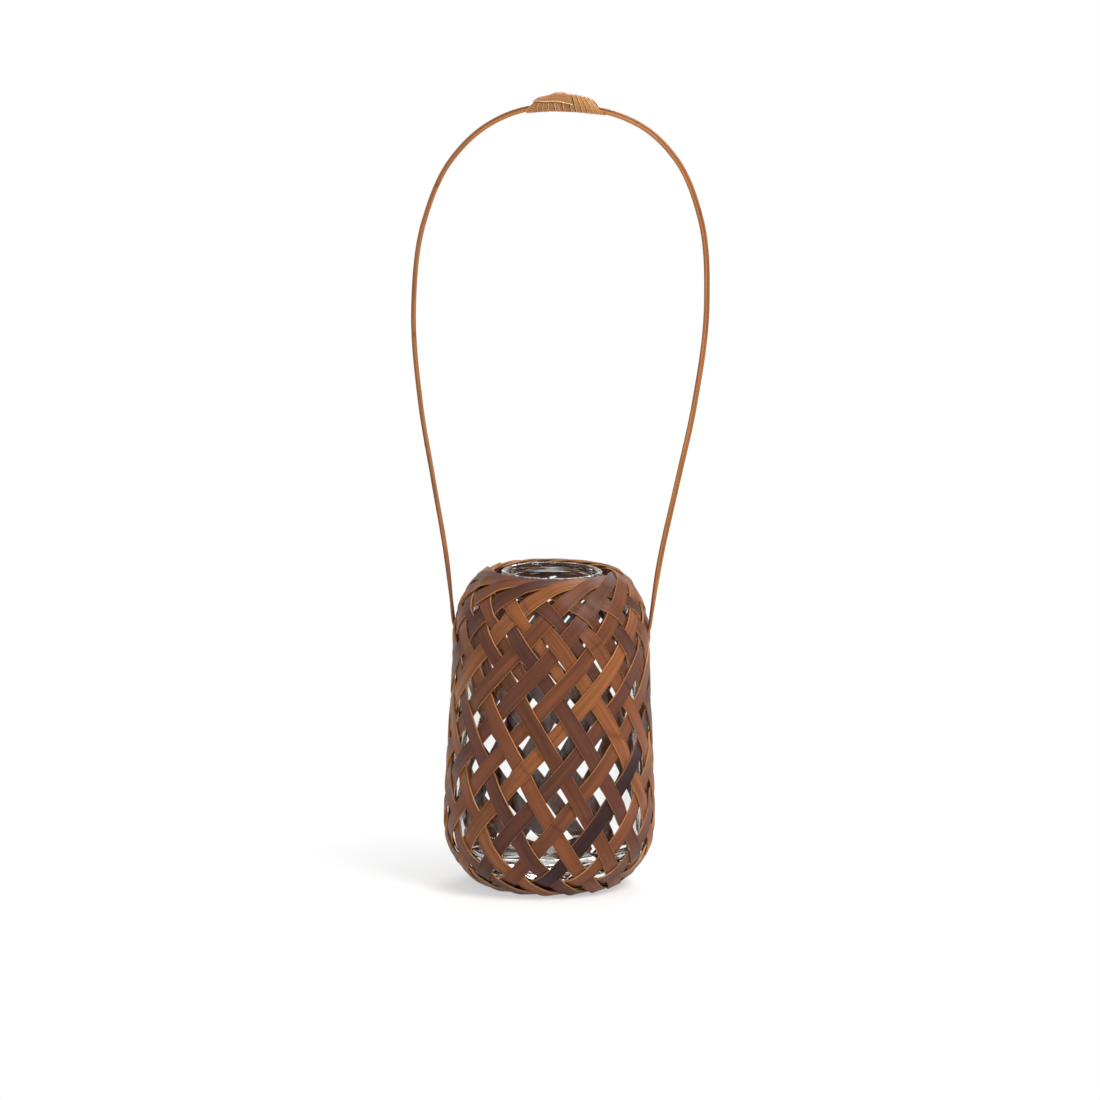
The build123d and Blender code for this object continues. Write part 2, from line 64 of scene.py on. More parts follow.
def between(knots: Knots, value: float) -> float:
    """Reads a broken line at a value.

    Args:
        knots: Pairs of place and height, in rising order of place.
        value: The place to read.

    Returns:
        The height there, held level past both ends.
    """
    if value <= knots[0][0]:
        return knots[0][1]
    for (low, first), (high, second) in zip(knots, knots[1:]):
        if value <= high:
            return first + (second - first) * (value - low) / (high - low)
    return knots[-1][1]


def eased(share: float) -> float:
    """Returns a share from 0 to 1 with a soft start and a soft end."""
    held = min(max(share, 0.0), 1.0)
    return held * held * (3 - 2 * held)


def spread(first: float, last: float, count: int) -> list[float]:
    """Returns values from the first to the last in even steps, with both ends."""
    return [first + (last - first) * i / count for i in range(count + 1)]


def arc(centre: Pair, reach: Pair, first: float, last: float, count: int) -> list[Pair]:
    """Rounds a corner of a half outline.

    Args:
        centre: Radius and height of the corner's centre.
        reach: How far the corner reaches outward and upward from there.
        first: The angle at which it starts, in radians, from straight outward.
        last: The angle at which it ends.
        count: How many steps it takes.

    Returns:
        Radius and height of each point, with both ends.
    """
    return [(centre[0] + reach[0] * math.cos(turn), centre[1] + reach[1] * math.sin(turn))
            for turn in spread(first, last, count)]


def flank(first: Pair, last: Pair, count: int) -> list[Pair]:
    """Returns a side that swings softly from one radius to another, without its first point."""
    return [(first[0] + (last[0] - first[0]) * eased(share), first[1] + (last[1] - first[1]) * share)
            for share in spread(0.0, 1.0, count)[1:]]


@dataclass
class Sweep:
    """A closed section that is extruded along a line of rings, with its UV map.

    Attributes:
        rings: The section's corners at each station, in metres.
        lengths: The U value of each station.
        across: The V value of each corner, with one more for the closing corner.
    """

    rings: list[list[Vector]]
    lengths: list[float]
    across: list[float]

    def mesh(self, name: str, smooth_deg: float) -> Mesh:
        """Extrudes the section from ring to ring and closes both ends.

        Args:
            name: The name of the mesh.
            smooth_deg: Edges that bend by less than this are shaded smooth.

        Returns:
            The finished mesh.
        """
        bm = bmesh.new()
        uv = bm.loops.layers.uv.new("UVMap")
        ring = [bm.verts.new(point) for point in self.rings[0]]
        edges = first = [bm.edges.new(pair) for pair in zip(ring, ring[1:] + ring[:1])]
        for points, before, after in zip(self.rings[1:], self.lengths, self.lengths[1:]):
            seat = {vert: (j, before) for j, vert in enumerate(ring)}
            made = bmesh.ops.extrude_edge_only(bm, edges=edges)["geom"]
            fresh = list(ring)
            for vert in (item for item in made if isinstance(item, bmesh.types.BMVert)):
                for other in (edge.other_vert(vert) for edge in vert.link_edges):
                    if other in seat:
                        fresh[seat[other][0]] = vert
            for j, (vert, point) in enumerate(zip(fresh, points)):
                vert.co = point
                seat[vert] = (j, after)
            for face in (item for item in made if isinstance(item, bmesh.types.BMFace)):
                self.lay(face, uv, seat)
            ring = fresh
            edges = [bm.edges.get(pair) for pair in zip(ring, ring[1:] + ring[:1])]
        for rim in (first, edges):
            bmesh.ops.contextual_create(bm, geom=rim)
        bmesh.ops.recalc_face_normals(bm, faces=bm.faces[:])
        return finished_mesh(bm, name, smooth_deg)

    def lay(self, face: bmesh.types.BMFace, uv: bmesh.types.BMLayerItem, seat: dict) -> None:
        """Writes the UV map of one side face."""
        seats = [seat[loop.vert] for loop in face.loops]
        closing = {0, len(self.rings[0]) - 1} <= {j for j, _ in seats}
        for loop, (j, length) in zip(face.loops, seats):
            loop[uv].uv = (length, self.across[-1 if closing and j == 0 else j])


def finished_mesh(bm: bmesh.types.BMesh, name: str, smooth_deg: float) -> Mesh:
    """Turns a bmesh into a shaded mesh and frees it."""
    mesh = bpy.data.meshes.new(name)
    bm.to_mesh(mesh)
    bm.free()
    mesh.polygons.foreach_set("use_smooth", [True] * len(mesh.polygons))
    mesh.set_sharp_from_angle(angle=math.radians(smooth_deg))
    return mesh


def along(middles: list[Vector], start: float = 0.0) -> list[float]:
    """Measures along a line.

    Args:
        middles: The line's points, in millimetres.
        start: The length at the first point, in metres.

    Returns:
        The length at each point, in metres.
    """
    lengths = [start]
    for before, after in zip(middles, middles[1:]):
        lengths.append(lengths[-1] + (after - before).length * MM)
    return lengths


def linked(name: str, data: bpy.types.ID) -> bpy.types.Object:
    """Makes an object and links it to the scene."""
    made = bpy.data.objects.new(name, data)
    bpy.context.scene.collection.objects.link(made)
    return made


def place_piece(mesh: Mesh, material: Material, node: str) -> None:
    """Links a piece under its mesh's name, dresses it and hands it to the frame.

    Args:
        mesh: The piece's mesh, in the row's frame.
        material: Its finish.
        node: The CAD node that the piece stands for.
    """
    piece = linked(mesh.name, mesh)
    mesh.materials.append(material)
    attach(piece, BODY)
    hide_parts(node)
    LOG.info("piece %s: %d faces", mesh.name, len(mesh.polygons))


@dataclass(frozen=True)
class Wiring:
    """Adds nodes to a node tree and feeds their inputs."""

    tree: Tree

    def feed(self, node: Node, values: dict[str | int, object]) -> None:
        """Feeds a node's inputs.

        Args:
            node: The node to feed.
            values: For each input, by name or number, a socket to link, or a plain number or colour.
        """
        for label, value in values.items():
            socket = node.inputs[label]
            if isinstance(value, Socket):
                self.tree.links.new(value, socket)
            else:
                socket.default_value = (*value, 1.0) if socket.type == "RGBA" else value

    def node(self, kind: str, values: dict[str | int, object] | None = None, **settings: object) -> Node:
        """Adds a node with its settings, and feeds its inputs."""
        made = self.tree.nodes.new(kind)
        for key, setting in settings.items():
            setattr(made, key, setting)
        self.feed(made, values or {})
        return made

    def math(self, operation: str, first: object, second: object = 0.0, clamp: bool = False) -> Socket:
        """Adds a math node and returns its result."""
        return self.node("ShaderNodeMath", {0: first, 1: second}, operation=operation, use_clamp=clamp).outputs[0]

    def total(self, start: float, *parts: tuple[Socket, float]) -> Socket:
        """Adds values up, each times its own share, from a plain number on."""
        total: object = start
        for value, share in parts:
            total = self.math("ADD", total, self.math("MULTIPLY", value, share))
        return total

    def mix(self, share: object, first: object, second: object) -> Socket:
        """Mixes two colours; a share of 1 is all of the second."""
        return self.node("ShaderNodeMix", {0: share, 6: first, 7: second}, data_type="RGBA").outputs[2]

    def ramp(self, value: Socket, low: float, high: float) -> Socket:
        """Stretches a value softly, so that low becomes 0 and high becomes 1."""
        return self.node("ShaderNodeMapRange", {0: value, 1: low, 2: high},
                         interpolation_type="SMOOTHSTEP").outputs[0]

    def noise(self, place: Socket, detail: float = 2.0, rough: float = 0.5) -> Socket:
        """Adds a noise and returns its value."""
        return self.node("ShaderNodeTexNoise", {"Vector": place, "Scale": 1.0, "Detail": detail,
                                                "Roughness": rough}).outputs[0]

    def bump(self, height: Socket, strength: float, depth: float) -> Socket:
        """Turns a height into a normal; the depth is in millimetres."""
        return self.node("ShaderNodeBump", {"Strength": strength, "Distance": depth * MM,
                                            "Height": height}).outputs[0]

    def surface(self, share: Socket, first: Node, second: Node) -> None:
        """Mixes two shaders into the tree's surface; a share of 1 is all of the second."""
        made = self.node("ShaderNodeMixShader", {0: share, 1: first.outputs[0], 2: second.outputs[0]})
        sink = next(node for node in self.tree.nodes if node.bl_idname.startswith("ShaderNodeOutput"))
        self.feed(sink, {"Surface": made.outputs[0]})


def new_material(name: str) -> tuple[Material, Wiring, Node]:
    """Makes a material, and returns it with its wiring and its Principled shader."""
    made = bpy.data.materials.new(name)
    made.use_nodes = True
    return made, Wiring(made.node_tree), made.node_tree.nodes["Principled BSDF"]


@dataclass(frozen=True)
class Pattern:
    """A noise that is laid over coordinates, with its scale and shift in them."""

    scale: Triple
    shift: Triple = (0.0, 0.0, 0.0)
    detail: float = 2.0
    rough: float = 0.5

    def laid(self, wire: Wiring, place: Socket) -> Socket:
        """Adds the noise over the given coordinates and returns its value."""
        mapped = wire.node("ShaderNodeMapping", {"Vector": place, "Location": self.shift, "Scale": self.scale})
        return wire.noise(mapped.outputs[0], self.detail, self.rough)


@dataclass(frozen=True)
class SplitBamboo:
    """Fibres, tones, flecks, joints and cut edges of split bamboo, with painted shade towards each strip's long
    edges, as one shader group.

    The group reads the UV map: U runs along the strip in metres, and V across it from 0 to 1.
    """

    fibre_scale: float = 55.0
    streaks: Pattern = Pattern((22.0, 3.2, 1.0))
    tones: Pattern = Pattern((7.0, 0.4, 1.0), detail=1.0)
    flecks: Pattern = Pattern((160.0, 9.0, 1.0), rough=0.7)
    joints: Pattern = Pattern((9.0, 0.02, 1.0), (0.37, 3.1, 0.0), detail=0.0)
    wear: Pattern = Pattern((60.0, 0.9, 1.0), (3.0, 1.0, 0.0))
    joint_level: float = 0.62
    joint_reach: float = 0.006
    shade_share: float = 0.4
    pale_edge: Color = (0.84, 0.60, 0.36)
    inputs: tuple[tuple[str, object], ...] = (
        ("Fibres", 24.0), ("Edge Share", 0.02), ("Edge Least", 0.25), ("Light", (0.3, 0.09, 0.03, 1)),
        ("Dark", (0.09, 0.03, 0.02, 1)), ("Cut Edge", (0.6, 0.3, 0.1, 1)))

    def tree(self) -> Tree:
        """Makes the group.

        Returns:
            The group's tree, whose outputs are Color, Height and Roughness.
        """
        tree = bpy.data.node_groups.new("split_bamboo", "ShaderNodeTree")
        for label, value in self.inputs:
            kind = "NodeSocketColor" if isinstance(value, tuple) else "NodeSocketFloat"
            tree.interface.new_socket(name=label, in_out="INPUT", socket_type=kind).default_value = value
        for label in ("Color", "Height", "Roughness"):
            kind = "NodeSocketColor" if label == "Color" else "NodeSocketFloat"
            tree.interface.new_socket(name=label, in_out="OUTPUT", socket_type=kind)
        wire = Wiring(tree)
        given = wire.node("NodeGroupInput").outputs
        uv = wire.node("ShaderNodeUVMap").outputs[0]
        run, across = wire.node("ShaderNodeSeparateXYZ", {0: uv}).outputs[:2]
        scaled = wire.node("ShaderNodeCombineXYZ", {0: wire.math("MULTIPLY", run, self.fibre_scale),
                                                    1: wire.math("MULTIPLY", across, given["Fibres"])})
        fibre = wire.noise(scaled.outputs[0], 3.0, 0.6)
        joint = wire.math("SUBTRACT", self.joints.laid(wire, uv), self.joint_level)
        ring = wire.math("SUBTRACT", 1.0, wire.ramp(wire.math("ABSOLUTE", joint), 0.0, self.joint_reach))
        off_middle = wire.math("ABSOLUTE", wire.math("SUBTRACT", across, 0.5))
        edge = wire.math("GREATER_THAN", off_middle, wire.math("SUBTRACT", 0.5, given["Edge Share"]))
        body = self.body(wire, uv, fibre, given)
        # Flecks and joints darken the face; the last mix is painted shade, darker towards both long edges.
        for share, part in ((wire.ramp(self.flecks.laid(wire, uv), 0.64, 0.76), 0.6), (ring, 0.65),
                            (wire.ramp(off_middle, 0.30, 0.46), self.shade_share)):
            body = wire.mix(wire.math("MULTIPLY", share, part), body, given["Dark"])
        wear = wire.math("MULTIPLY", wire.ramp(self.wear.laid(wire, uv), 0.25, 0.7), 0.7)
        worn = wire.math("MULTIPLY", edge, wire.math("ADD", given["Edge Least"], wear), clamp=True)
        far_side = wire.math("MULTIPLY", wire.math("GREATER_THAN", across, 0.5), 0.12)
        cut = wire.mix(far_side, given["Cut Edge"], self.pale_edge)
        wire.node("NodeGroupOutput", {"Color": wire.mix(worn, body, cut),
                                      "Height": wire.total(0.0, (fibre, 0.7), (ring, 0.5)),
                                      "Roughness": wire.total(0.36, (fibre, 0.16), (edge, 0.18))})
        return tree

    def body(self, wire: Wiring, uv: Socket, fibre: Socket, given: bpy.types.NodeOutputs) -> Socket:
        """Returns the colour of the strip's face, before its flecks, joints and shading."""
        streak, tone = self.streaks.laid(wire, uv), self.tones.laid(wire, uv)
        blend = wire.total(0.0, (fibre, 0.42), (streak, 0.42), (tone, 0.5))
        return wire.mix(wire.ramp(blend, 0.48, 0.86), given["Dark"], given["Light"])


@dataclass(frozen=True)
class BambooFinish:
    """Finish of a stained and waxed strip, rod or cane."""

    name: str
    light: Color
    dark: Color
    cut_edge: Color
    edge_share: float = 0.016
    edge_least: float = 0.25
    fibres: float = 24.0
    bump: float = 0.25
    fibre_depth: float = 0.1
    coat: float = 0.0
    coat_roughness: float = 0.25
    specular: float = 0.2

    def material(self, group: Tree) -> Material:
        """Makes the material around the shared split bamboo group."""
        made, wire, shader = new_material(self.name)
        grain = wire.node("ShaderNodeGroup", {
            "Fibres": self.fibres, "Edge Share": self.edge_share, "Edge Least": self.edge_least,
            "Light": self.light, "Dark": self.dark, "Cut Edge": self.cut_edge}, node_tree=group).outputs
        wire.feed(shader, {"Base Color": grain["Color"], "Roughness": grain["Roughness"],
                           "Normal": wire.bump(grain["Height"], self.bump, self.fibre_depth),
                           "Coat Weight": self.coat, "Coat Roughness": self.coat_roughness,
                           "Specular IOR Level": self.specular})
        return made


@dataclass(frozen=True)
class GlassFinish:
    """Clear, slightly green jar glass.

    Lighting rays pass it almost unhindered, so its shadow is faint. A ray that has met more than
    trapped_after surfaces goes straight on, so the thick neck doesn't turn black.
    """

    name: str = "jar_glass"
    color: Color = (0.985, 0.995, 0.99)
    roughness: float = 0.02
    index: float = 1.33
    waves: Pattern = Pattern((40.0, 40.0, 130.0), detail=1.0)
    wave_strength: float = 0.05
    wave_depth: float = 1.0
    shadow_share: float = 0.1
    trapped_after: float = 3.5

    def material(self) -> Material:
        """Makes the glass, with faint waves in its surface."""
        made, wire, shader = new_material(self.name)
        wave = self.waves.laid(wire, wire.node("ShaderNodeTexCoord").outputs["Object"])
        wire.feed(shader, {"Base Color": self.color, "Roughness": self.roughness, "IOR": self.index,
                           "Transmission Weight": 1.0,
                           "Normal": wire.bump(wave, self.wave_strength, self.wave_depth)})
        path = wire.node("ShaderNodeLightPath").outputs
        lighting = wire.math("MAXIMUM", path["Is Shadow Ray"], path["Is Diffuse Ray"])
        faint = wire.math("MULTIPLY", lighting, 1 - self.shadow_share)
        trapped = wire.math("GREATER_THAN", path["Ray Depth"], self.trapped_after)
        wire.surface(wire.math("MAXIMUM", faint, trapped), shader, wire.node("ShaderNodeBsdfTransparent"))
        return made


class Tone(Enum):
    """The stains of the strips; a strip takes one by its first letter."""

    CHESTNUT = BambooFinish("strip_chestnut", (0.205, 0.064, 0.022), (0.075, 0.023, 0.011), (0.55, 0.23, 0.065))
    AMBER = BambooFinish("strip_amber", (0.30, 0.102, 0.030), (0.120, 0.037, 0.013), (0.62, 0.28, 0.085))
    PLUM = BambooFinish("strip_plum", (0.130, 0.041, 0.021), (0.048, 0.017, 0.011), (0.48, 0.20, 0.065))
    DARK = BambooFinish("strip_dark", (0.055, 0.013, 0.013), (0.008, 0.005, 0.007), (0.32, 0.13, 0.05))


ROD_FINISH = BambooFinish("handle_bamboo", (0.42, 0.165, 0.045), (0.17, 0.052, 0.016), (0.42, 0.165, 0.045),
                          edge_share=0.0, fibres=8.0, bump=0.15, coat=0.2)
CANE_FINISH = BambooFinish("grip_cane", (0.50, 0.235, 0.085), (0.27, 0.105, 0.034), (0.84, 0.60, 0.34),
                           edge_share=0.085, edge_least=0.85, fibres=12.0, bump=0.3, coat=0.1)
# Near-black padding finish: painted shade that shows in the gaps between the winding's turns.
PADDING_SHADE_FINISH = BambooFinish("grip_padding", (0.04, 0.017, 0.008), (0.02, 0.009, 0.005), (0.04, 0.017, 0.008),
                              edge_share=0.0, fibres=16.0, bump=0.4, coat=0.0)


@dataclass
class BodyOutline:
    """Half outline of the weave's middle, from the axis out, up the side and over the shoulder."""

    inset: float
    floor_z: float
    flat_radius: float = 16.0
    full_rounding: float = 24.0
    shoulder_z: float = 95.0
    shoulder_radius: float = 37.3
    shoulder_depth: float = 20.2
    shoulder_rise: float = 26.9
    count: int = 240
    points: list[Pair] = field(default_factory=list)
    lengths: list[float] = field(default_factory=list)

    def __post_init__(self) -> None:
        """Lays the outline's points and adds up their lengths."""
        rounding = self.full_rounding - self.inset
        rise_z = self.floor_z + rounding
        side, shoulder = self.flat_radius + rounding, self.shoulder_radius - self.inset
        over = (self.shoulder_depth - self.inset, self.shoulder_rise - self.inset)
        self.points = [(0.0, self.floor_z)]
        self.points += arc((self.flat_radius, rise_z), (rounding, rounding), -QUARTER, 0.0, self.count)
        self.points += flank((side, rise_z), (shoulder, self.shoulder_z), self.count)
        self.points += arc((shoulder - over[0], self.shoulder_z), over, 0.0, QUARTER, self.count)[1:]
        self.lengths = [0.0]
        for (r0, z0), (r1, z1) in zip(self.points, self.points[1:]):
            self.lengths.append(self.lengths[-1] + math.hypot(r1 - r0, z1 - z0))

    def at(self, length: float) -> Pair:
        """Returns the radius and height at a length along the outline."""
        low = min(max(bisect_right(self.lengths, length) - 1, 0), len(self.lengths) - 2)
        share = (length - self.lengths[low]) / (self.lengths[low + 1] - self.lengths[low])
        (r0, z0), (r1, z1) = self.points[low], self.points[low + 1]
        return r0 + (r1 - r0) * share, z0 + (z1 - z0) * share

    def slope(self, length: float, reach: float = 1.4) -> Pair:
        """Returns the outline's direction, as its radial and its upward part."""
        r0, z0 = self.at(length - reach)
        r1, z1 = self.at(min(length + reach, self.lengths[-1]))
        size = math.hypot(r1 - r0, z1 - z0)
        return (r1 - r0) / size, (z1 - z0) / size

    def length_at(self, radius: float = 0.0, height: float = 0.0) -> float:
        """Returns the first length at which the outline reaches a radius, or else a height."""
        for length, (r, z) in zip(self.lengths, self.points):
            if (radius and r >= radius) or (height and z >= height):
                return length
        return self.lengths[-1]


@dataclass
class WovenBody:
    """Sixteen bamboo strips that slant round the jar, over and under each other."""

    count: int = 16
    width: float = 5.8
    thickness: float = 0.6
    gap: float = 0.1
    base_touch: float = 22.1
    mouth_touch: float = 25.0
    ease_z: float = 35.0
    phase_deg: float = 10.8
    twist_deg: float = 17.4
    twist_top_z: float = 112.0
    steps_to_mouth: float = 20.5
    arm_end: float = 15.3
    tail_end: float = 12.6
    short_tail_end: float = 14.6
    exit_step: float = 14.0
    exit_pitches: float = 2.5
    short_strips: tuple[int, ...] = (6, 14)
    tones: str = "CAPCCPACPCAPCDCP"
    spacing: float = 0.11
    bevel: float = 0.1
    outside: tuple[int, ...] = (5, 7, 9, 12, 13)
    rings: tuple[int, ...] = (5, 6, 7, 8, 9, 10, 11, 12, 13, 14)
    reach: float = 0.33
    outline: BodyOutline = field(default_factory=lambda: BodyOutline(0.65, 0.15))
    grain_shift: float = 0.37
    width_change: float = 0.03
    wander: float = 0.12
    tip_shares: Knots = ((2.8, 0.56), (3.6, 0.0))
    stations: list[Pair] = field(default_factory=list)

    def __post_init__(self) -> None:
        """Finds the strips' course and sets up the tables of layers and widths."""
        self.pitch = 2 * math.pi / self.count
        self.step = self.pitch / 2
        self.layer = self.thickness + self.gap
        base = [(0, 0), (1, -0.56), (2, -1.12), (3.2, -1.8), (4.42, -0.5)]
        top = [(14.7, 0), (15.08, -0.05), (15.27, -0.5), (15.75, -0.5), (16.08, 0.5), (16.92, 0.65),
               (17.6, 1.62), (20.5, 0)]
        self.layer_lines: tuple[Knots, ...] = (
            [(s, -v) for s, v in base] + self.ring_knots(-1) + [(14.68, -1.1), (15.3, -1.25)],
            base + self.ring_knots(1) + top,
            [(12.6, -0.75), (12.9, -0.8), (13.15, -1.5), (14.86, -1.5), (15.14, 0.5), (15.84, 0.5), (16.06, -0.5),
             (16.95, -0.65), (17.6, -1.62), (20.5, 0)])
        base_widths = [(3.2, 5.2), (4.6, self.width)]
        mouth_widths = [(16.3, self.width), (17.5, 4.8)]
        self.width_lines: tuple[Knots, ...] = (
            base_widths + [(14.35, self.width), (15.3, 3.4)], base_widths + mouth_widths,
            [(15.2, 4.0), (16.2, self.width)] + mouth_widths)
        low, high = self.base_touch * 0.8, self.base_touch * 1.3
        for _ in range(16):
            lean = (low + high) / 2
            if self.march(lean) < self.steps_to_mouth:
                low = lean
            else:
                high = lean

    def ring_knots(self, sign: int) -> list[Pair]:
        """Returns the layers of an arm over the side, level at each crossing."""
        knots = []
        for ring in self.rings:
            value = 0.5 * sign * (1 if ring in self.outside else -1)
            knots += [(ring - self.reach, value), (ring + self.reach, value)]
        return knots

    def march(self, side_lean: float, stride: float = 0.7) -> float:
        """Follows a strip from the base until it runs level at the mouth.

        Args:
            side_lean: Radius times the cosine of the climb on the side.
            stride: Length of one move, in millimetres.

        Returns:
            How many half pitches it turned.
        """
        line = self.outline
        start, side = line.length_at(radius=self.base_touch), line.length_at(height=self.ease_z)
        shoulder, top = line.length_at(height=line.shoulder_z), line.lengths[-1]

        def lean(length: float) -> float:
            if length < side:
                return self.base_touch + (side_lean - self.base_touch) * eased((length - start) / (side - start))
            return side_lean + (self.mouth_touch - side_lean) * eased((length - shoulder) / (top - shoulder))

        length, turn, climb = start, 0.0, 0.0
        self.stations = []
        while length < top - stride:
            self.stations.append((turn, length))
            radius = line.at(length)[0]
            change = (lean(length + stride / 2) - lean(length - stride / 2)) / stride
            after = climb + stride * (math.cos(climb) * line.slope(length)[0] - change) / radius
            move = stride
            if after < 0:
                move, after = stride * climb / (climb - after), 0.0
            length += move * math.sin((climb + after) / 2)
            turn += move * math.cos((climb + after) / 2) / radius
            climb = after
            if move < stride:
                break
        self.stations.append((turn, length))
        return turn / self.step

    def fold(self, steps: float) -> float:
        """Returns how far up the body a place on a strip lies, in half pitches."""
        return abs(steps) if steps <= self.steps_to_mouth else 2 * self.steps_to_mouth - steps

    def read(self, lines: tuple[Knots, ...], steps: float) -> float:
        """Reads the line of the falling arm, the rising arm or the tail, whichever the place is on."""
        line = lines[0 if steps < 0 else 1 if steps <= self.steps_to_mouth else 2]
        return between(line, self.fold(steps))

    def layers(self, steps: float) -> float:
        """Returns the layers that a strip stands outside the weave's middle, softly blended."""
        return sum(self.read(self.layer_lines, steps + shift) for shift in (-0.1, -0.05, 0.0, 0.05, 0.1)) / 5

    def turn_at(self, height: float) -> float:
        """Returns the angle of the first strip's touching point, with the weave's twist."""
        return math.radians(self.phase_deg + self.twist_deg * eased(height / self.twist_top_z))

    def surface(self, steps: float, number: int) -> tuple[Vector, Vector, float]:
        """Finds a point of a strip.

        Args:
            steps: Place along the strip, in half pitches.
            number: Which strip, from 0.

        Returns:
            The point, the outward normal, and the radius there, in millimetres.
        """
        length = between(self.stations, self.fold(steps) * self.step)
        radius, height = self.outline.at(length)
        out, up = self.outline.slope(length)
        angle = self.turn_at(height) + steps * self.step + number * self.pitch
        normal = Vector((up * math.sin(angle), -up * math.cos(angle), -out))
        point = Vector((radius * math.sin(angle), -radius * math.cos(angle), height))
        return point + normal * (self.layers(steps) * self.layer), normal, radius

    def section(self, steps: float, number: int, first: float, last: float) -> list[Vector]:
        """Returns the six corners of a strip's section, with its outer edges shaved off."""
        centre, normal, radius = self.surface(steps, number)
        ahead = (self.surface(min(steps + 0.08, last), number)[0]
                 - self.surface(max(steps - 0.08, first), number)[0]).normalized()
        across = normal.cross(ahead).normalized()
        grown = 1 + self.width_change * noise.noise(Vector((steps * 0.5, number * 3.7, 1.0)))
        half = self.read(self.width_lines, steps) / 2 * grown
        tip = between(self.tip_shares, min(abs(steps), abs(steps - self.steps_to_mouth)))
        around = Vector((0, 0, 1)).cross(Vector((centre.x, centre.y, 0))).normalized()
        turned = half * across.dot(around) / radius / self.step
        across = (across * half - normal * (tip * turned * self.layer)).normalized()
        through = ahead.cross(across).normalized()
        rise = self.thickness / 2
        wander = across * (self.wander * noise.noise(Vector((steps * 0.35, number * 5.3, 7.0))))
        corners = ((-half, -rise), (half, -rise), (half, rise - self.bevel), (half - self.bevel, rise),
                   (-half + self.bevel, rise), (-half, rise - self.bevel))
        points = [centre + wander + across * u + through * v for u, v in corners]
        for point in points:
            point.z = max(point.z, 0.0)
        return points

    def strip_mesh(self, number: int, aside: float) -> Mesh:
        """Builds one strip.

        Args:
            number: Which strip, from 0.
            aside: How far the body's axis stands from the row's, in millimetres.

        Returns:
            The strip's mesh.
        """
        end = self.short_tail_end if number + 1 in self.short_strips else self.tail_end
        first, last = -self.arm_end, 2 * self.steps_to_mouth - end
        total = math.ceil((last - first) / self.spacing)
        sections = [self.section(steps, number, first, last) for steps in spread(first, last, total)]
        rings = [[(point - Vector((aside, 0, 0))) * MM for point in points] for points in sections]
        lengths = along([(points[0] + points[1]) / 2 for points in sections], self.grain_shift * number)
        share = self.bevel / self.width
        sweep = Sweep(rings, lengths, [0.0, 1.0, 1.0, 1 - share, share, 0.0, 0.0])
        return sweep.mesh(f"bamboo_strip_{number + 1:02d}", 28.0)

    def build(self, group: Tree, aside: float) -> None:
        """Builds and dresses every strip."""
        stains = {tone.name[0]: tone.value.material(group) for tone in Tone}
        for number, letter in enumerate(self.tones):
            place_piece(self.strip_mesh(number, aside), stains[letter], f"strip_{number + 1:02d}")

    @property
    def exit_height(self) -> float:
        """Height of the gaps by which the handle's rods come out."""
        return self.outline.at(between(self.stations, self.exit_step * self.step))[1]

    @property
    def handle_turn(self) -> float:
        """Angle of the handle's plane, from +X towards +Y."""
        return self.turn_at(self.exit_height) + self.exit_pitches * self.pitch - QUARTER


